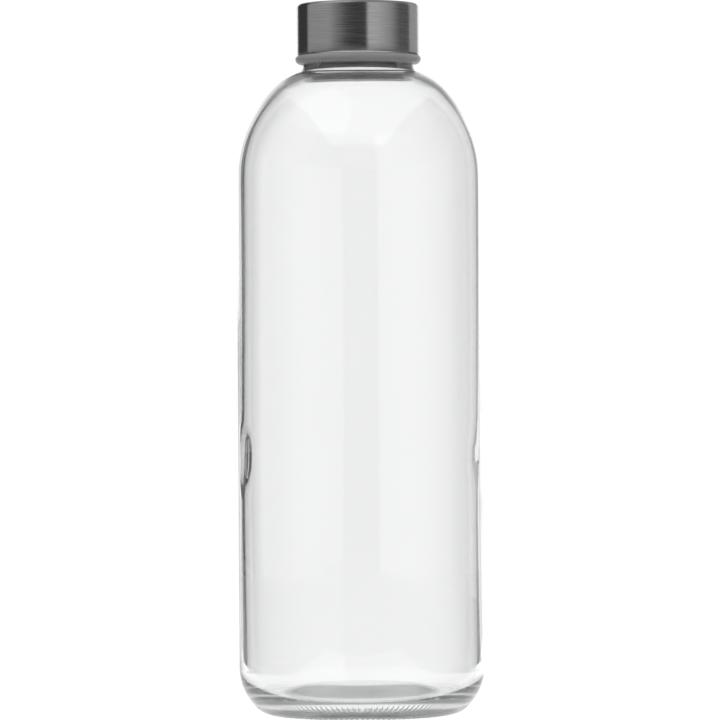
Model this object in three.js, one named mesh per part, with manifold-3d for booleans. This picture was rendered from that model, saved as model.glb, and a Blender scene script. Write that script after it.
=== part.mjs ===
// One-litre glass water bottle with a brushed steel screw cap.
// Millimetres, +Z up. The origin is on the bottle's axis, in the plane that it stands on.
import * as THREE from "three";
import { mergeVertices } from "three/addons/utils/BufferGeometryUtils.js";
import Module from "manifold-3d";

const wasm = await Module();
wasm.setup();

// ---- Glass: overall sizes and wall ----
const bodyRadius = 42.5;
const glassHeight = 242.3; // from the standing plane to the rim
const wall = 2.1;
const floorThickness = 6.4; // at the middle of the base

// ---- Glass: base ----
const heelRadius = 18.85; // large arc from the side wall
const heelTurn = THREE.MathUtils.degToRad(48.5); // how far it turns before the toe
const toeRadius = 7.7; // small arc down to the standing ring
const standingWidth = 2.6;
const puntHeight = 3.6; // push-up at the middle of the underside
const innerHeelRadius = 11;
const innerHeelHeight = 4.5; // lowest glass inside, in the ring round the floor

// ---- Glass: shoulder and neck ----
const shoulderPastAxis = 1; // the shoulder's centre lies this far beyond the axis
const shoulderTurn = THREE.MathUtils.degToRad(43); // then the tighter crown starts
const crownTurn = THREE.MathUtils.degToRad(72); // then the neck fillet starts
const neckFillet = 2; // crown to neck
const innerNeckFillet = 7;

// ---- Glass: finish (rim, thread and transfer bead) ----
const finishHeight = 14.35; // from the top of the bead to the rim
const finishRadius = 17.45; // outside of the wall that carries the thread
const finishWall = 2.2;
const neckStep = 1.75; // the neck below the bead is this much wider than the finish
const rimRounding = 0.8;
const beadRounding = 1.7; // underside of the bead
const beadTopRounding = 1.2;

// ---- Thread: single start, right-handed ----
const threadPitch = 4.233;
const threadTurns = 1.5;
const threadHeight = 1.15; // the ridge is half round
const threadDrop = 3.2; // from the rim to the middle of the ridge's upper end
const threadFade = 0.12; // length of each run-out, in turns

// ---- Cap ----
const threadClearance = 0.35; // radial, from the glass ridge's crest to the liner
const ridgeGap = 0.15; // least gap between the liner's ridge and the glass
const insertWall = 1.72;
const insertTop = 1.2;
const shellWall = 0.5;
const shellCorner = 1.2;
const gasketThickness = 1.4;
const gasketOverhang = 1; // how far it reaches inside the bore
const fitGap = 0.1; // between pieces that are pressed or seated together
const skirtGap = 0.25; // between the bead and the lower edge of the steel
const insertRecess = 0.35; // the liner's edge stands this far above the steel's
const leadIn = 0.6; // chamfer at the liner's mouth
const beadOverhang = 0.5; // how far the bead stands proud of the steel

const roundSegments = 48;
const threadStepsPerTurn = 36;

// ---- Sizes that follow ----
const boreRadius = finishRadius - finishWall;
const neckRadius = finishRadius + neckStep;
const threadDepth = threadHeight + threadClearance;
const insertInner = finishRadius + threadDepth;
const insertOuter = insertInner + insertWall;
const shellInner = insertOuter + fitGap;
const shellOuter = shellInner + shellWall;
const beadRadius = shellOuter + beadOverhang;
const beadTop = glassHeight - finishHeight;
const beadMiddle = beadTop - beadTopRounding;
const beadFillet = beadRadius - beadRounding - neckRadius;
const neckHeight = beadMiddle - beadRounding - beadFillet;
const skirtHeight = beadTop + skirtGap;
const gasketBottom = glassHeight + fitGap;
const gasketTop = gasketBottom + gasketThickness;
const insertCeiling = gasketTop + fitGap;
const insertHeight = insertCeiling + insertTop;
const capHeight = insertHeight + fitGap + shellWall;

const point = (radius, height) => new THREE.Vector2(radius, height);

const polar = (centre, radius, angle) =>
  point(centre.x + radius * Math.cos(angle), centre.y + radius * Math.sin(angle));

// Points of an arc from one angle to another, both ends included. Angle 0 points away from the axis.
function arc(centre, radius, from, to, steps) {
  return Array.from({ length: steps + 1 }, (_, i) =>
    polar(centre, radius, from + ((to - from) * i) / steps),
  );
}

// The shoulder's three tangent arcs, worked back from the neck to the side wall.
const shoulderRadius = bodyRadius + shoulderPastAxis;
const crownRadius =
  (shoulderRadius * Math.cos(shoulderTurn) +
    neckFillet * Math.cos(crownTurn) -
    neckRadius -
    neckFillet -
    shoulderPastAxis) /
  (Math.cos(shoulderTurn) - Math.cos(crownTurn));
const neckFilletCentre = point(neckRadius + neckFillet, neckHeight);
const crownCentre = polar(neckFilletCentre, -(crownRadius + neckFillet), crownTurn);
const shoulderCentre = polar(crownCentre, -(shoulderRadius - crownRadius), shoulderTurn);

// Turns a profile of radius and height about the axis.
function revolve(profile) {
  return new THREE.LatheGeometry(profile, roundSegments).rotateX(Math.PI / 2);
}

function solid(geometry) {
  const bare = geometry.clone();
  bare.deleteAttribute("normal");
  bare.deleteAttribute("uv");
  const merged = mergeVertices(bare, 1e-4);
  return new wasm.Manifold(
    new wasm.Mesh({
      numProp: 3,
      vertProperties: merged.attributes.position.array,
      triVerts: new Uint32Array(merged.index.array),
    }),
  );
}

function namedMesh(name, body, look) {
  const { vertProperties, triVerts } = body.getMesh();
  const geometry = new THREE.BufferGeometry();
  geometry.setAttribute("position", new THREE.BufferAttribute(vertProperties, 3));
  geometry.setIndex(new THREE.BufferAttribute(triVerts, 1));
  geometry.computeVertexNormals();
  const mesh = new THREE.Mesh(geometry, new THREE.MeshStandardMaterial(look));
  mesh.name = name;
  return mesh;
}

// A right-handed helix whose ends ease by `sink` towards (or, if negative, away from) the axis.
class Helix extends THREE.Curve {
  constructor(radius, startHeight, sink) {
    super();
    Object.assign(this, { radius, startHeight, sink });
  }

  getPoint(t, target = new THREE.Vector3()) {
    const turnsFromEnd = threadTurns * Math.min(t, 1 - t);
    const ease = THREE.MathUtils.smoothstep(turnsFromEnd, 0, threadFade);
    const r = this.radius - this.sink * (1 - ease);
    const angle = 2 * Math.PI * threadTurns * t;
    const height = this.startHeight + threadPitch * threadTurns * t;
    return target.set(r * Math.cos(angle), r * Math.sin(angle), height);
  }
}

// A round bar wound on a helix, half of it buried in the wall that it stands on.
function threadRidge(radius, section, startHeight, sink) {
  const outline = new THREE.Shape();
  outline.absarc(0, 0, section, 0, 2 * Math.PI);
  return new THREE.ExtrudeGeometry(outline, {
    extrudePath: new Helix(radius, startHeight, sink),
    steps: Math.round(threadTurns * threadStepsPerTurn),
    curveSegments: 5,
    bevelEnabled: false,
  });
}

const threadStart = glassHeight - threadDrop - threadPitch * threadTurns;

// The liner's ridge runs half a pitch below the glass one. It is as large as the glass wall that it
// faces and the glass ridge beside it allow.
const ridgeSpacing = Math.hypot(threadDepth, threadPitch / 2);
const insertRidge = Math.min(threadDepth, ridgeSpacing - threadHeight) - ridgeGap;

function glassOutside() {
  const heelCentre = point(
    bodyRadius - heelRadius,
    toeRadius + (heelRadius - toeRadius) * Math.sin(heelTurn),
  );
  const toeCentre = polar(heelCentre, heelRadius - toeRadius, -heelTurn);
  const puntRadius = toeCentre.x - standingWidth;
  const puntSphere = (puntRadius ** 2 + puntHeight ** 2) / (2 * puntHeight);
  const puntAngle = Math.asin(puntRadius / puntSphere);
  const beadCentre = point(beadRadius - beadRounding, beadMiddle);
  const beadTopCentre = point(beadRadius - beadTopRounding, beadMiddle);
  const rimCentre = point(finishRadius - rimRounding, glassHeight - rimRounding);
  return revolve([
    point(0, puntHeight),
    ...arc(
      point(0, puntHeight - puntSphere),
      puntSphere,
      Math.PI / 2,
      Math.PI / 2 - puntAngle,
      4,
    ).slice(1, -1),
    point(puntRadius, 0),
    ...arc(toeCentre, toeRadius, -Math.PI / 2, -heelTurn, 4),
    ...arc(heelCentre, heelRadius, -heelTurn, 0, 5).slice(1),
    ...arc(shoulderCentre, shoulderRadius, 0, shoulderTurn, 6),
    ...arc(crownCentre, crownRadius, shoulderTurn, crownTurn, 5).slice(1),
    ...arc(neckFilletCentre, neckFillet, crownTurn - Math.PI, -Math.PI, 5).slice(1),
    ...arc(point(neckRadius + beadFillet, neckHeight), beadFillet, Math.PI, Math.PI / 2, 3).slice(1),
    ...arc(beadCentre, beadRounding, -Math.PI / 2, 0, 4).slice(1),
    ...arc(beadTopCentre, beadTopRounding, 0, Math.PI / 2, 4).slice(1),
    point(finishRadius, beadTop),
    ...arc(rimCentre, rimRounding, 0, Math.PI / 2, 3),
    point(0, glassHeight),
  ]);
}

function glassInside() {
  const innerRadius = bodyRadius - wall;
  const heelCentre = point(innerRadius - innerHeelRadius, innerHeelHeight + innerHeelRadius);
  const floorRise = puntHeight + floorThickness - innerHeelHeight;
  const floorSteps = 7;
  const floor = Array.from({ length: floorSteps }, (_, i) => {
    const share = i / floorSteps;
    const swell = (1 + Math.cos(Math.PI * share ** 3)) / 2;
    return point(heelCentre.x * share, innerHeelHeight + floorRise * swell);
  });
  const ceilingRadius = crownRadius - wall;
  const filletReach = ceilingRadius + innerNeckFillet;
  const filletTurn = Math.acos((boreRadius + innerNeckFillet - crownCentre.x) / filletReach);
  const filletCentre = polar(crownCentre, filletReach, filletTurn);
  const mouthCentre = point(boreRadius + rimRounding, glassHeight - rimRounding);
  return revolve([
    ...floor,
    ...arc(heelCentre, innerHeelRadius, -Math.PI / 2, 0, 6),
    ...arc(shoulderCentre, shoulderRadius - wall, 0, shoulderTurn, 6),
    ...arc(crownCentre, ceilingRadius, shoulderTurn, filletTurn, 5).slice(1),
    ...arc(filletCentre, innerNeckFillet, filletTurn - Math.PI, -Math.PI, 4).slice(1),
    ...arc(mouthCentre, rimRounding, Math.PI, Math.PI / 2, 3),
    point(mouthCentre.x, capHeight),
    point(0, capHeight),
  ]);
}

function glassBottle() {
  const ridge = threadRidge(finishRadius, threadHeight, threadStart, threadHeight + fitGap);
  const body = solid(glassOutside()).add(solid(ridge)).subtract(solid(glassInside()));
  return namedMesh("glass_bottle", body, {
    color: 0xe8eeec,
    roughness: 0.03,
    metalness: 0,
    transparent: true,
    opacity: 0.35,
  });
}

// Deep-drawn steel cup, open below.
function capShell() {
  const cornerCentre = point(shellOuter - shellCorner, capHeight - shellCorner);
  const cup = revolve([
    point(0, capHeight - shellWall),
    ...arc(cornerCentre, shellCorner - shellWall, Math.PI / 2, 0, 3),
    point(shellInner, skirtHeight),
    point(shellOuter, skirtHeight),
    ...arc(cornerCentre, shellCorner, 0, Math.PI / 2, 4),
    point(0, capHeight),
  ]);
  return namedMesh("cap_shell", solid(cup), { color: 0x9a9b9c, roughness: 0.35, metalness: 1 });
}

// Threaded polypropylene liner pressed into the steel cup.
function capInsert() {
  const foot = skirtHeight + insertRecess;
  const corner = shellCorner - shellWall + fitGap;
  const cornerCentre = point(insertOuter - corner, insertHeight - corner);
  const blank = revolve([
    point(0, foot),
    point(insertOuter, foot),
    ...arc(cornerCentre, corner, 0, Math.PI / 2, 3),
    point(0, insertHeight),
  ]);
  const hollow = revolve([
    point(0, foot - leadIn),
    point(insertInner + leadIn, foot - leadIn),
    point(insertInner + leadIn, foot),
    point(insertInner, foot + leadIn),
    point(insertInner, insertCeiling),
    point(0, insertCeiling),
  ]);
  const ridge = threadRidge(insertInner, insertRidge, threadStart - threadPitch / 2, -threadDepth);
  const body = solid(blank).subtract(solid(hollow).subtract(solid(ridge)));
  return namedMesh("cap_insert", body, { color: 0xd9dad8, roughness: 0.5, metalness: 0 });
}

// Silicone washer between the liner's ceiling and the glass rim.
function capGasket() {
  const outer = finishRadius + fitGap;
  const inner = boreRadius - gasketOverhang;
  const ring = revolve([
    point(inner, gasketBottom),
    point(outer, gasketBottom),
    point(outer, gasketTop),
    point(inner, gasketTop),
    point(inner, gasketBottom),
  ]);
  return namedMesh("cap_gasket", solid(ring), { color: 0xf0f0ee, roughness: 0.6, metalness: 0 });
}

const cap = new THREE.Group();
cap.add(capShell(), capInsert(), capGasket());

const group = new THREE.Group();
group.add(glassBottle(), cap);

export default group;
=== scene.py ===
import math

import bmesh
import bpy
import numpy as np
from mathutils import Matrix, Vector


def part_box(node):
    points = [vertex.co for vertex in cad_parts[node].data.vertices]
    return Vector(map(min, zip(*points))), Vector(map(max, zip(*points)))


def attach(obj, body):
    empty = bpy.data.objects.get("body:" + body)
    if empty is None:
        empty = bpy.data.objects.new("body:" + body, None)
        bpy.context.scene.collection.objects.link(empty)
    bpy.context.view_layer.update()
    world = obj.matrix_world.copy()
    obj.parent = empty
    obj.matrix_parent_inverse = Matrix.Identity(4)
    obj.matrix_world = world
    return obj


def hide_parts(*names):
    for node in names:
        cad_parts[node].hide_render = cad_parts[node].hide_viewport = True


# A one-litre glass bottle with a brushed steel screw cap, in a plain white studio. Metres.
MM = 0.001

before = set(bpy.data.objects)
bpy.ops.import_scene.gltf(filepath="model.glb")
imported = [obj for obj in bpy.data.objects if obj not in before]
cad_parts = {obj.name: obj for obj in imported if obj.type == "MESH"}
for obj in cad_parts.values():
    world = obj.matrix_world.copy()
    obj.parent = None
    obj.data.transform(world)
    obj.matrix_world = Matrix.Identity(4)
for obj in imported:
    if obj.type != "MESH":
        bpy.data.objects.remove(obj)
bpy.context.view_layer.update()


# ---------------------------------------------------------------- sizes
glass_low, glass_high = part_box("glass_bottle")
shell_low, shell_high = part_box("cap_shell")
insert_low, insert_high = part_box("cap_insert")
gasket_low, gasket_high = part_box("cap_gasket")

BODY_RADIUS = glass_high.x
RIM = glass_high.z
WALL = 2.1 * MM
FLOOR_THICKNESS = 6.4 * MM

HEEL_RADIUS = 18.85 * MM
HEEL_TURN = math.radians(48.5)
TOE_RADIUS = 7.7 * MM
STANDING_WIDTH = 2.6 * MM
PUNT_HEIGHT = 3.6 * MM
INNER_HEEL_RADIUS = 11 * MM
INNER_HEEL_HEIGHT = 4.5 * MM

SHOULDER_PAST_AXIS = 1 * MM
SHOULDER_TURN = math.radians(43)
CROWN_TURN = math.radians(72)
NECK_FILLET = 2 * MM
INNER_NECK_FILLET = 7 * MM

FINISH_HEIGHT = 14.35 * MM
FIT_GAP = 0.1 * MM  # between pieces that are pressed or seated together
FINISH_RADIUS = gasket_high.x - FIT_GAP
FINISH_WALL = 2.2 * MM
NECK_STEP = 1.75 * MM
RIM_ROUNDING = 0.8 * MM
BEAD_ROUNDING = 1.7 * MM
BEAD_TOP_ROUNDING = 1.2 * MM
BEAD_OVERHANG = 0.5 * MM
BEAD_LEDGE = 0.6 * MM  # fillet where the finish stands on the bead

THREAD_PITCH = 4.233 * MM
THREAD_TURNS = 1.5
THREAD_HEIGHT = 1.15 * MM
THREAD_DROP = 3.2 * MM
THREAD_FADE = 0.12
THREAD_DEPTH = 1.5 * MM  # from the finish wall to the liner's wall
INSERT_RIDGE = 1.29 * MM

SHELL_WALL = 0.5 * MM
SHELL_CORNER = 1.2 * MM
INSERT_TOP = 1.2 * MM
INSERT_LEAD_IN = 0.6 * MM
INSERT_ROUNDING = 0.8 * MM
GASKET_OVERHANG = 1 * MM  # how far it reaches inside the bore
GASKET_ROUNDING = 0.35 * MM

STIPPLE_BARS = 108
STIPPLE_DEPTH = 0.6 * MM
STIPPLE_REACH = 3.4 * MM  # to each side of the standing ring's outer edge
STIPPLE_TOP = 1.6 * MM
SEAM_HEIGHT = 0.12 * MM
SEAM_HALF_WIDTH = 0.012  # in radians
SEAM_START = 1 * MM
SEAM_FADE = 3 * MM
SETTLE_HEIGHT = 89 * MM
SETTLE_HALF_HEIGHT = 11 * MM
SETTLE_SLOPE = 10 * MM  # rise for each radian round the bottle
SETTLE_MARKS = [(198, 0.2, 0.55), (-16, 0.3, 0.25)]  # middle in degrees, half width, thickness
FOOT_HEIGHT = 3.7 * MM  # the underside, with its stippled standing ring
SECTORS = 4 * STIPPLE_BARS

BORE_RADIUS = FINISH_RADIUS - FINISH_WALL
NECK_RADIUS = FINISH_RADIUS + NECK_STEP
BEAD_RADIUS = shell_high.x + BEAD_OVERHANG
BEAD_TOP = RIM - FINISH_HEIGHT
BEAD_MIDDLE = BEAD_TOP - BEAD_TOP_ROUNDING
BEAD_FILLET = BEAD_RADIUS - BEAD_ROUNDING - NECK_RADIUS
NECK_HEIGHT = BEAD_MIDDLE - BEAD_ROUNDING - BEAD_FILLET
THREAD_START = RIM - THREAD_DROP - THREAD_PITCH * THREAD_TURNS


# ---------------------------------------------------------------- outlines
def polar(centre, radius, angle):
    return (centre[0] + radius * math.cos(angle), centre[1] + radius * math.sin(angle))


def arc(centre, radius, start, end, steps):
    """Points of an arc, both ends included. Angle 0 points away from the axis."""
    return [polar(centre, radius, start + (end - start) * i / steps) for i in range(steps + 1)]


def line(start, end, steps):
    """Points of a straight stretch, without its two ends."""
    return [
        tuple(a + (b - a) * i / steps for a, b in zip(start, end))
        for i in range(1, steps)
    ]


SHOULDER_RADIUS = BODY_RADIUS + SHOULDER_PAST_AXIS
CROWN_RADIUS = (
    SHOULDER_RADIUS * math.cos(SHOULDER_TURN)
    + NECK_FILLET * math.cos(CROWN_TURN)
    - NECK_RADIUS
    - NECK_FILLET
    - SHOULDER_PAST_AXIS
) / (math.cos(SHOULDER_TURN) - math.cos(CROWN_TURN))
NECK_FILLET_CENTRE = (NECK_RADIUS + NECK_FILLET, NECK_HEIGHT)
CROWN_CENTRE = polar(NECK_FILLET_CENTRE, -(CROWN_RADIUS + NECK_FILLET), CROWN_TURN)
SHOULDER_CENTRE = polar(CROWN_CENTRE, -(SHOULDER_RADIUS - CROWN_RADIUS), SHOULDER_TURN)
HEEL_CENTRE = (
    BODY_RADIUS - HEEL_RADIUS,
    TOE_RADIUS + (HEEL_RADIUS - TOE_RADIUS) * math.sin(HEEL_TURN),
)
TOE_CENTRE = polar(HEEL_CENTRE, HEEL_RADIUS - TOE_RADIUS, -HEEL_TURN)
QUARTER = math.pi / 2


def glass_outline():
    """Underside, outside, rim and inside, from the axis back to the axis."""
    punt_radius = TOE_CENTRE[0] - STANDING_WIDTH
    punt_sphere = (punt_radius**2 + PUNT_HEIGHT**2) / (2 * PUNT_HEIGHT)
    punt_angle = math.asin(punt_radius / punt_sphere)
    neck_arc_centre = (NECK_RADIUS + BEAD_FILLET, NECK_HEIGHT)
    bead_centre = (BEAD_RADIUS - BEAD_ROUNDING, BEAD_MIDDLE)
    bead_top_centre = (BEAD_RADIUS - BEAD_TOP_ROUNDING, BEAD_MIDDLE)
    rim_centre = (FINISH_RADIUS - RIM_ROUNDING, RIM - RIM_ROUNDING)
    root_centre = (FINISH_RADIUS + BEAD_LEDGE, BEAD_TOP + BEAD_LEDGE)
    wall_start, wall_end = (BODY_RADIUS, HEEL_CENTRE[1]), (BODY_RADIUS, SHOULDER_CENTRE[1])
    outside = [
        *arc((0, PUNT_HEIGHT - punt_sphere), punt_sphere, QUARTER, QUARTER - punt_angle, 9),
        *line((punt_radius, 0), (TOE_CENTRE[0], 0), 5),
        *arc(TOE_CENTRE, TOE_RADIUS, -QUARTER, -HEEL_TURN, 9),
        *arc(HEEL_CENTRE, HEEL_RADIUS, -HEEL_TURN, 0, 9)[1:],
        *line(wall_start, wall_end, 5),
        *arc(SHOULDER_CENTRE, SHOULDER_RADIUS, 0, SHOULDER_TURN, 13),
        *arc(CROWN_CENTRE, CROWN_RADIUS, SHOULDER_TURN, CROWN_TURN, 8)[1:],
        *arc(NECK_FILLET_CENTRE, NECK_FILLET, CROWN_TURN - math.pi, -math.pi, 7)[1:],
        *arc(neck_arc_centre, BEAD_FILLET, math.pi, QUARTER, 5)[1:],
        *arc(bead_centre, BEAD_ROUNDING, -QUARTER, 0, 8)[1:],
        *arc(bead_top_centre, BEAD_TOP_ROUNDING, 0, QUARTER, 6)[1:],
        *arc(root_centre, BEAD_LEDGE, -QUARTER, -math.pi, 3),
        *line((FINISH_RADIUS, root_centre[1]), (FINISH_RADIUS, rim_centre[1]), 30),
        *arc(rim_centre, RIM_ROUNDING, 0, QUARTER, 4),
    ]

    inner_radius = BODY_RADIUS - WALL
    heel_centre = (inner_radius - INNER_HEEL_RADIUS, INNER_HEEL_HEIGHT + INNER_HEEL_RADIUS)
    floor_rise = PUNT_HEIGHT + FLOOR_THICKNESS - INNER_HEEL_HEIGHT
    ceiling = CROWN_RADIUS - WALL
    reach = ceiling + INNER_NECK_FILLET
    turn = math.acos((BORE_RADIUS + INNER_NECK_FILLET - CROWN_CENTRE[0]) / reach)
    fillet_centre = polar(CROWN_CENTRE, reach, turn)
    mouth_centre = (BORE_RADIUS + RIM_ROUNDING, RIM - RIM_ROUNDING)
    floor_steps = 16
    floor = [
        (
            heel_centre[0] * share,
            INNER_HEEL_HEIGHT + floor_rise * (1 + math.cos(math.pi * share**3)) / 2,
        )
        for share in (1 - i / floor_steps for i in range(1, floor_steps + 1))
    ]
    inside = [
        *arc(mouth_centre, RIM_ROUNDING, QUARTER, math.pi, 4),
        *line((BORE_RADIUS, mouth_centre[1]), (BORE_RADIUS, fillet_centre[1]), 5),
        *arc(fillet_centre, INNER_NECK_FILLET, -math.pi, turn - math.pi, 7),
        *arc(CROWN_CENTRE, ceiling, turn, SHOULDER_TURN, 10)[1:],
        *arc(SHOULDER_CENTRE, SHOULDER_RADIUS - WALL, SHOULDER_TURN, 0, 12)[1:],
        *line((inner_radius, SHOULDER_CENTRE[1]), (inner_radius, heel_centre[1]), 38),
        *arc(heel_centre, INNER_HEEL_RADIUS, 0, -QUARTER, 13),
        *floor,
    ]
    return outside, inside


# ---------------------------------------------------------------- relief on the outlines
def bump(distance, half_width):
    """A rounded bump, 1 in the middle and 0 beyond the half width."""
    share = np.clip(np.abs(distance) / half_width, 0, 1)
    return np.cos(share * QUARTER) ** 2


def thread_relief(angle, height, start, section):
    """Height of a right-handed ridge over its wall, with its ends fading out."""
    relief = np.zeros(np.broadcast(angle, height).shape)
    for turn in range(math.ceil(THREAD_TURNS)):
        turns = angle / (2 * math.pi) + turn
        from_end = np.minimum(turns, THREAD_TURNS - turns)
        fade = np.clip(from_end / THREAD_FADE, 0, 1)
        middle = start + THREAD_PITCH * turns
        relief = np.maximum(relief, section * fade * bump(height - middle, section))
    return relief


def from_seam(angle):
    """Angle to the nearer of the two mould seams, which face the front and the back."""
    return (angle % math.pi) - QUARTER


def outside_relief(radius, height, angle):
    """The thread, the stipple under the standing ring and the mould seams."""
    relief = 0 * (radius + angle)
    on_thread = (height > BEAD_TOP) & (radius > BORE_RADIUS + WALL / 2)
    relief += on_thread * thread_relief(angle, height, THREAD_START, THREAD_HEIGHT)
    standing = bump(radius - TOE_CENTRE[0], STIPPLE_REACH) * (height < STIPPLE_TOP)
    bars = 0.5 - 0.5 * np.cos(STIPPLE_BARS * angle)
    relief -= STIPPLE_DEPTH * np.sqrt(standing) * bars
    seam_reach = np.clip((height - SEAM_START) / SEAM_FADE, 0, 1) * (height < BEAD_TOP)
    # Away from the seams the glass is a little slimmer, so that their crests stay inside its width.
    crest = bump(from_seam(angle), SEAM_HALF_WIDTH) - np.cos(from_seam(angle)) ** 2
    relief += SEAM_HEIGHT * seam_reach * crest
    return relief


def inside_relief(radius, height, angle):
    """The slow unevenness of blown glass, and the settle marks below mid height."""
    wall_share = np.clip((radius - BORE_RADIUS) / (BODY_RADIUS - BORE_RADIUS), 0, 1)
    slow = (
        0.10 * np.cos(2 * angle + 0.7)
        + 0.06 * np.cos(3 * angle - 1.9 + height * 22)
        + 0.04 * np.cos(5 * angle + 2.3 - height * 35)
        + 0.05 * np.cos(height * 60 + np.cos(angle) * 1.5)
    )
    settle = sum(settle_mark(height, angle, *mark) for mark in SETTLE_MARKS)
    return MM * wall_share * (slow + settle)


def settle_mark(height, angle, middle, half_width, thickness):
    """A thicker patch, where the first blow let the glass sag. Thickness in millimetres."""
    across = np.angle(np.exp(1j * (angle - math.radians(middle))))
    drift = SETTLE_HEIGHT + SETTLE_SLOPE * across
    return thickness * bump(across, half_width) * bump(height - drift, SETTLE_HALF_HEIGHT)


# ---------------------------------------------------------------- mesh building
def turned_mesh(name, outline, sectors, relief=None, closed=False):
    """Turns an outline about Z. Relief moves each point along the outline's normal."""
    points = np.array(outline)
    if closed:
        along = np.roll(points, -1, 0) - np.roll(points, 1, 0)
    else:
        along = np.gradient(points, axis=0)
    normal = np.stack([along[:, 1], -along[:, 0]], 1)
    normal /= np.linalg.norm(normal, axis=1)[:, None]
    angle = np.arange(sectors) * 2 * math.pi / sectors
    radius, height = points[:, :1], points[:, 1:]
    amount = relief(radius, height, angle[None, :]) if relief else np.zeros((len(points), sectors))
    ring_radius = radius + amount * normal[:, :1]
    ring_height = height + amount * normal[:, 1:]
    grid = np.stack([ring_radius * np.cos(angle), ring_radius * np.sin(angle), ring_height], 2)

    on_axis = [not closed and points[i, 0] < 1e-6 for i in range(len(points))]
    vertices, rings = [], []
    for i, row in enumerate(grid):
        start = len(vertices)
        if on_axis[i]:
            vertices.append((0, 0, float(points[i, 1])))
            rings.append([start] * sectors)
        else:
            vertices.extend(map(tuple, row))
            rings.append(list(range(start, start + sectors)))
    if closed:
        rings.append(rings[0])
    faces = []
    for low, high in zip(rings, rings[1:]):
        for j in range(sectors):
            k = (j + 1) % sectors
            corners = (low[j], low[k], high[k], high[j])
            faces.append(tuple(dict.fromkeys(corners)))
    mesh = bpy.data.meshes.new(name)
    mesh.from_pydata(vertices, [], faces)
    mesh.polygons.foreach_set("use_smooth", [True] * len(faces))
    mesh.update()
    piece = bpy.data.objects.new(name, mesh)
    bpy.context.scene.collection.objects.link(piece)
    return piece


def mark_moulded_faces(mesh):
    """The bead and the foot keep the mould's dull skin, in slots 1 and 2. The rest is polished."""
    centres = np.empty(3 * len(mesh.polygons))
    mesh.polygons.foreach_get("center", centres)
    x, y, height = centres.reshape(-1, 3).T
    on_bead = (np.hypot(x, y) > NECK_RADIUS) & (height > NECK_HEIGHT + 0.5 * MM)
    on_foot = height < FOOT_HEIGHT
    mesh.polygons.foreach_set("material_index", on_bead * 1 + on_foot * 2)


def make_glass():
    outside, inside = glass_outline()
    edge = len(outside)

    def relief(radius, height, angle):
        return np.vstack([
            outside_relief(radius[:edge], height[:edge], angle),
            inside_relief(radius[edge:], height[edge:], angle),
        ])

    piece = turned_mesh("bottle_glass", outside + inside, SECTORS, relief)
    mark_moulded_faces(piece.data)
    return piece


def make_shell():
    """Deep-drawn cup: rounded top edge, thin wall, and a lower edge turned in a little."""
    outer, wall = shell_high.x, SHELL_WALL
    top, bottom = shell_high.z, shell_low.z
    corner, edge = SHELL_CORNER, wall / 2
    outline = [
        (0, top - wall),
        *arc((outer - corner, top - corner), corner - wall, QUARTER, 0, 8),
        (outer - wall, bottom + edge),
        *arc((outer - edge, bottom + edge), edge, -math.pi, 0, 10)[1:-1],
        *line((outer, bottom + edge), (outer, top - corner), 6),
        *arc((outer - corner, top - corner), corner, 0, QUARTER, 14),
        *line((outer - corner, top), (0, top), 12),
        (0, top),
    ]
    return turned_mesh("cap_steel", outline, 288)


def make_insert():
    """Threaded liner, with the internal ridge standing on its wall."""
    outer, foot, top = insert_high.x, insert_low.z, insert_high.z
    inner = FINISH_RADIUS + THREAD_DEPTH
    ceiling = top - INSERT_TOP
    lead, round_edge = INSERT_LEAD_IN, INSERT_ROUNDING
    outline = [
        (0, ceiling),
        *line((0, ceiling), (inner - lead, ceiling), 4),
        *arc((inner - lead, ceiling - lead), lead, QUARTER, 0, 4),
        *line((inner, ceiling - lead), (inner, foot + lead), 44),
        (inner, foot + lead),
        (inner + lead, foot),
        *line((inner + lead, foot), (outer - lead / 3, foot), 3),
        *arc((outer - lead / 3, foot + lead / 3), lead / 3, -QUARTER, 0, 4),
        *arc((outer - round_edge, top - round_edge), round_edge, 0, QUARTER, 6),
        (0, top),
    ]

    def relief(radius, height, angle):
        on_wall = np.abs(radius - inner) < 0.01 * MM
        start = THREAD_START - THREAD_PITCH / 2
        return on_wall * thread_relief(angle, height, start, INSERT_RIDGE)

    return turned_mesh("cap_liner", outline, 216, relief)


def make_gasket():
    """Flat washer with rounded edges."""
    outer, inner = gasket_high.x, BORE_RADIUS - GASKET_OVERHANG
    bottom, top = gasket_low.z, gasket_high.z
    edge = GASKET_ROUNDING
    corners = [
        ((inner + edge, bottom + edge), math.pi),
        ((outer - edge, bottom + edge), -QUARTER),
        ((outer - edge, top - edge), 0),
        ((inner + edge, top - edge), QUARTER),
    ]
    outline = []
    for centre, start in corners:
        outline += arc(centre, edge, start, start + QUARTER, 5)
    return turned_mesh("seal_washer", outline, 180, closed=True)


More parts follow.
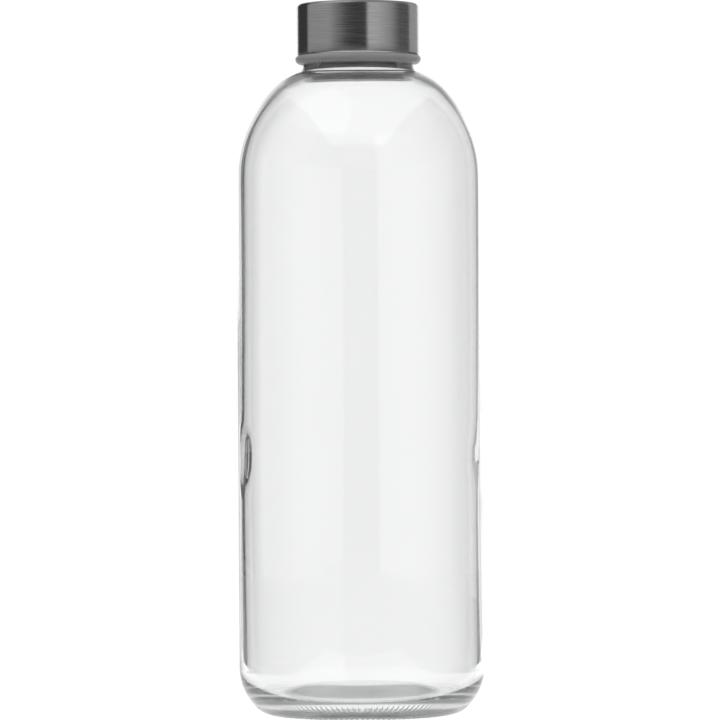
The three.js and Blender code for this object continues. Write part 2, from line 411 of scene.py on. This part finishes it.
# ---------------------------------------------------------------- materials
class Nodes:
    """Short way to add and join the nodes of one material."""

    def __init__(self, name):
        self.material = bpy.data.materials.new(name)
        self.material.use_nodes = True
        self.tree = self.material.node_tree
        self.shader = self.tree.nodes["Principled BSDF"]
        self.output = self.tree.nodes["Material Output"]

    def add(self, kind, **settings):
        node = self.tree.nodes.new(kind)
        for key, value in settings.items():
            setattr(node, key, value)
        return node

    def join(self, start, end):
        self.tree.links.new(start, end)

    def noise(self, scale, detail=3, vector=None):
        node = self.add("ShaderNodeTexNoise")
        node.inputs["Scale"].default_value = scale
        node.inputs["Detail"].default_value = detail
        if vector is None:
            vector = self.add("ShaderNodeTexCoord").outputs["Object"]
        self.join(vector, node.inputs["Vector"])
        return node.outputs["Fac"]

    def spread(self, value, low, high):
        """Maps a 0 to 1 value to the range from low to high."""
        node = self.add("ShaderNodeMapRange")
        node.inputs["To Min"].default_value = low
        node.inputs["To Max"].default_value = high
        self.join(value, node.inputs["Value"])
        return node.outputs["Result"]

    def blend(self, value, dark, light):
        """Mixes two colours by a 0 to 1 value."""
        node = self.add("ShaderNodeMix", data_type="RGBA")
        node.inputs["A"].default_value = (*dark, 1)
        node.inputs["B"].default_value = (*light, 1)
        self.join(value, node.inputs["Factor"])
        return node.outputs["Result"]

    def raise_surface(self, value, distance):
        """Bumps the surface by a 0 to 1 value times the distance."""
        node = self.add("ShaderNodeBump")
        node.inputs["Distance"].default_value = distance
        self.join(value, node.inputs["Height"])
        self.join(node.outputs["Normal"], self.shader.inputs["Normal"])


def glass_material(name, polish, dullness, clearness=1.0):
    """Soda-lime glass. Polish and dullness are its lowest and highest roughness."""
    m = Nodes(name)
    shader = m.shader
    shader.inputs["Transmission Weight"].default_value = clearness
    shader.inputs["IOR"].default_value = 1.52
    haze = m.noise(26, 4)
    m.join(m.blend(haze, (0.972, 0.975, 0.974), (0.988, 0.99, 0.989)), shader.inputs["Base Color"])
    m.join(m.spread(haze, polish, dullness), shader.inputs["Roughness"])
    m.raise_surface(m.noise(45, 2), 0.02 * MM)
    depth = m.add("ShaderNodeVolumeAbsorption")
    depth.inputs["Color"].default_value = (0.87, 0.885, 0.88, 1)
    depth.inputs["Density"].default_value = 40
    m.join(depth.outputs["Volume"], m.output.inputs["Volume"])
    return m.material


def steel_material():
    """Stainless steel brushed round its axis, on the side and on the top alike."""
    m = Nodes("brushed_steel")
    shader = m.shader
    shader.inputs["Metallic"].default_value = 1
    shader.inputs["Anisotropic"].default_value = 1
    shader.inputs["Anisotropic Rotation"].default_value = 0.25
    tangent = m.add("ShaderNodeTangent", direction_type="RADIAL", axis="Z")
    m.join(tangent.outputs["Tangent"], shader.inputs["Tangent"])
    # The noise is drawn out along the circles round the axis, so it varies fast only across them.
    spot = m.add("ShaderNodeTexCoord").outputs["Object"]
    parts = m.add("ShaderNodeSeparateXYZ")
    m.join(spot, parts.inputs["Vector"])
    flat = m.add("ShaderNodeVectorMath", operation="MULTIPLY")
    flat.inputs[1].default_value = (1, 1, 0)
    m.join(spot, flat.inputs[0])
    reach = m.add("ShaderNodeVectorMath", operation="LENGTH")
    m.join(flat.outputs["Vector"], reach.inputs[0])
    across = m.add("ShaderNodeMath", operation="ADD")
    m.join(reach.outputs["Value"], across.inputs[0])
    m.join(parts.outputs["Z"], across.inputs[1])
    stretched = m.add("ShaderNodeCombineXYZ")
    m.join(parts.outputs["X"], stretched.inputs["X"])
    m.join(parts.outputs["Y"], stretched.inputs["Y"])
    fine = m.add("ShaderNodeMath", operation="MULTIPLY")
    fine.inputs[1].default_value = 70
    m.join(across.outputs["Value"], fine.inputs[0])
    m.join(fine.outputs["Value"], stretched.inputs["Z"])
    brushing = m.spread(m.noise(110, 4, stretched.outputs["Vector"]), -0.7, 1.7)
    m.join(m.blend(brushing, (0.50, 0.50, 0.50), (0.70, 0.70, 0.69)), shader.inputs["Base Color"])
    m.join(m.spread(brushing, 0.18, 0.26), shader.inputs["Roughness"])
    m.raise_surface(brushing, 0.006 * MM)
    return m.material


def liner_material():
    m = Nodes("liner_plastic")
    shader = m.shader
    shader.inputs["Subsurface Weight"].default_value = 0.2
    shader.inputs["Subsurface Scale"].default_value = 2 * MM
    grain = m.noise(900, 3)
    m.join(m.blend(grain, (0.78, 0.78, 0.76), (0.86, 0.86, 0.84)), shader.inputs["Base Color"])
    m.join(m.spread(grain, 0.38, 0.55), shader.inputs["Roughness"])
    m.raise_surface(grain, 0.01 * MM)
    return m.material


def silicone_material():
    m = Nodes("seal_silicone")
    shader = m.shader
    shader.inputs["Subsurface Weight"].default_value = 0.35
    shader.inputs["Subsurface Scale"].default_value = 3 * MM
    grain = m.noise(500, 4)
    m.join(m.blend(grain, (0.84, 0.84, 0.82), (0.92, 0.92, 0.9)), shader.inputs["Base Color"])
    m.join(m.spread(grain, 0.5, 0.7), shader.inputs["Roughness"])
    m.raise_surface(grain, 0.015 * MM)
    return m.material


def place(piece, body, node, slot, *materials):
    for material in materials:
        piece.data.materials.append(material)
    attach(piece, body)
    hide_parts(node)


polished_glass = glass_material("polished_glass", 0, 0.02)
bead_glass = glass_material("bead_glass", 0.3, 0.4, clearness=0.2)
foot_glass = glass_material("foot_glass", 0.25, 0.4)
place(make_glass(), "bottle", "glass_bottle", "clear_glass", polished_glass, bead_glass, foot_glass)
place(make_shell(), "cap", "cap_shell", "brushed_steel", steel_material())
place(make_insert(), "cap", "cap_insert", "liner_plastic", liner_material())
place(make_gasket(), "seal", "cap_gasket", "seal_silicone", silicone_material())


# ---------------------------------------------------------------- camera
CAMERA_DISTANCE = 1.457
CAMERA_HEIGHT = 0.1224
CAMERA_ROLL = math.radians(0.38)
FRAME_WIDTH = 0.2498  # what the frame takes in at the bottle's axis

camera_data = bpy.data.cameras.new("camera")
camera_data.sensor_width = 36
camera_data.lens = camera_data.sensor_width * CAMERA_DISTANCE / FRAME_WIDTH
camera = bpy.data.objects.new("camera", camera_data)
bpy.context.scene.collection.objects.link(camera)
camera.location = (0, -CAMERA_DISTANCE, CAMERA_HEIGHT)
camera.rotation_euler = (QUARTER, CAMERA_ROLL, 0)
bpy.context.scene.camera = camera


# ---------------------------------------------------------------- studio
def glow_material(name):
    """Light of the strength that each point's glow attribute holds."""
    m = Nodes(name)
    m.tree.nodes.remove(m.shader)
    strength = m.add("ShaderNodeAttribute", attribute_name="glow")
    light = m.add("ShaderNodeEmission")
    m.join(strength.outputs["Fac"], light.inputs["Strength"])
    m.join(light.outputs["Emission"], m.output.inputs["Surface"])
    return m.material


def lit_sheet(name, columns, rig, seen):
    """A sheet through columns of (point, glow) pairs. It lights the bottle and turns with the rig."""
    rows = len(columns[0])
    points = [point for column in columns for point, glow in column]
    faces = [
        (i * rows + j, (i + 1) * rows + j, (i + 1) * rows + j + 1, i * rows + j + 1)
        for i in range(len(columns) - 1)
        for j in range(rows - 1)
    ]
    mesh = bpy.data.meshes.new(name)
    mesh.from_pydata(points, [], faces)
    glow_layer = mesh.attributes.new("glow", "FLOAT", "POINT")
    glow_layer.data.foreach_set("value", [glow for column in columns for point, glow in column])
    sheet = bpy.data.objects.new(name, mesh)
    bpy.context.scene.collection.objects.link(sheet)
    mesh.materials.append(glow_material(name))
    sheet.parent = rig
    sheet.visible_camera = seen


# What stands round the bottle: degrees from the camera, positive to its right, and brightness.
SURROUND = [
    (-152, 0.05), (-109, 0.05), (-108, 0.38), (-56, 0.4), (-22, 0.05), (-8, 0.03), (17, 0.03),
    (18, 0.62), (38, 0.58), (62, 0.4), (84, 0.13), (112, 0.11), (113, 0.42), (146, 0.42),
]
SURROUND_DISTANCE = 1.0
SURROUND_TOP = 0.9

SWEEP_FRONT = -0.25
SWEEP_NECK = 0.35  # behind this the sheet widens quickly
SWEEP_BEND = 2.6
SWEEP_BEND_RADIUS = 0.6
SWEEP_TOP = 1.5
SWEEP_GLOW = 1.05
SWEEP_TOP_GLOW = 0.15
SWEEP_FRONT_WIDTH = 0.156  # half widths
SWEEP_NECK_WIDTH = 0.187
SWEEP_LEFT_SPREAD = 0.46  # widening for each metre behind the neck
SWEEP_RIGHT_SPREAD = 0.55


FLOOR_RADIUS = 5
FLOOR_DROP = 2 * MM  # below the sweep
TOP_LIGHT_SIZE = 2.4
TOP_LIGHT_POWER = 5
TOP_LIGHT_SPOT = Vector((-1.2, -0.8, 1.76))
ROOM_GLOW = 0.3


def make_surround(rig):
    """Upright panels that the steel mirrors. The camera doesn't see them."""
    columns = []
    for degrees, glow in SURROUND:
        angle = math.radians(degrees)
        x, y = SURROUND_DISTANCE * math.sin(angle), -SURROUND_DISTANCE * math.cos(angle)
        columns.append([((x, y, 0), glow), ((x, y, SURROUND_TOP), glow)])
    lit_sheet("surround", columns, rig, seen=False)


def make_sweep(rig):
    """White sheet under the bottle that rises behind it, and widens away from the camera."""
    back = SWEEP_BEND + SWEEP_BEND_RADIUS
    route = [(y, 0, SWEEP_GLOW) for y in (SWEEP_FRONT, 0, SWEEP_NECK, SWEEP_BEND)]
    for i in range(1, 13):
        turn = QUARTER * i / 12
        rise = SWEEP_BEND_RADIUS * (1 - math.cos(turn))
        route.append((SWEEP_BEND + SWEEP_BEND_RADIUS * math.sin(turn), rise, SWEEP_GLOW))
    route += [(back, 1.0, SWEEP_GLOW), (back, SWEEP_TOP, SWEEP_TOP_GLOW)]
    columns = []
    for y, z, glow in route:
        near, far = np.clip(y / SWEEP_NECK, 0, 1), max(y - SWEEP_NECK, 0)
        width = SWEEP_FRONT_WIDTH + (SWEEP_NECK_WIDTH - SWEEP_FRONT_WIDTH) * near
        left = width + SWEEP_LEFT_SPREAD * far
        right = width + SWEEP_RIGHT_SPREAD * far
        columns.append([((-left, y, z), glow), ((right, y, z), glow)])
    lit_sheet("sweep", columns, rig, seen=True)


def make_floor():
    """Pale floor that the sweep lies on."""
    mesh = bpy.data.meshes.new("floor")
    shape = bmesh.new()
    bmesh.ops.create_circle(shape, cap_ends=True, segments=96, radius=FLOOR_RADIUS)
    shape.to_mesh(mesh)
    shape.free()
    floor = bpy.data.objects.new("floor", mesh)
    bpy.context.scene.collection.objects.link(floor)
    floor.location.z = -FLOOR_DROP
    m = Nodes("floor_pale")
    m.shader.inputs["Roughness"].default_value = 0.9
    m.join(m.blend(m.noise(3, 2), (0.5, 0.5, 0.5), (0.54, 0.54, 0.54)), m.shader.inputs["Base Color"])
    mesh.materials.append(m.material)


def make_top_light(rig):
    lamp_data = bpy.data.lights.new("top_light", "AREA")
    lamp_data.shape = "DISK"
    lamp_data.size = TOP_LIGHT_SIZE
    lamp_data.energy = TOP_LIGHT_POWER
    lamp = bpy.data.objects.new("top_light", lamp_data)
    bpy.context.scene.collection.objects.link(lamp)
    lamp.location = TOP_LIGHT_SPOT
    lamp.rotation_euler = TOP_LIGHT_SPOT.to_track_quat("Z", "Y").to_euler()
    lamp.parent = rig


def make_studio():
    """The studio turns with the camera, as it does for a bottle that stands on a turntable."""
    rig = bpy.data.objects.new("studio", None)
    bpy.context.scene.collection.objects.link(rig)
    turn = rig.constraints.new("COPY_ROTATION")
    turn.target = camera
    turn.use_x = turn.use_y = False
    make_surround(rig)
    make_sweep(rig)
    make_top_light(rig)


def make_world():
    world = bpy.data.worlds.new("studio_room")
    world.use_nodes = True
    world.node_tree.nodes["Background"].inputs["Color"].default_value = (1, 1, 1, 1)
    world.node_tree.nodes["Background"].inputs["Strength"].default_value = ROOM_GLOW
    bpy.context.scene.world = world


make_floor()
make_studio()
make_world()

scene = bpy.context.scene
scene.view_settings.view_transform = "Standard"
scene.cycles.max_bounces = 24
scene.cycles.transmission_bounces = 24
scene.cycles.glossy_bounces = 8
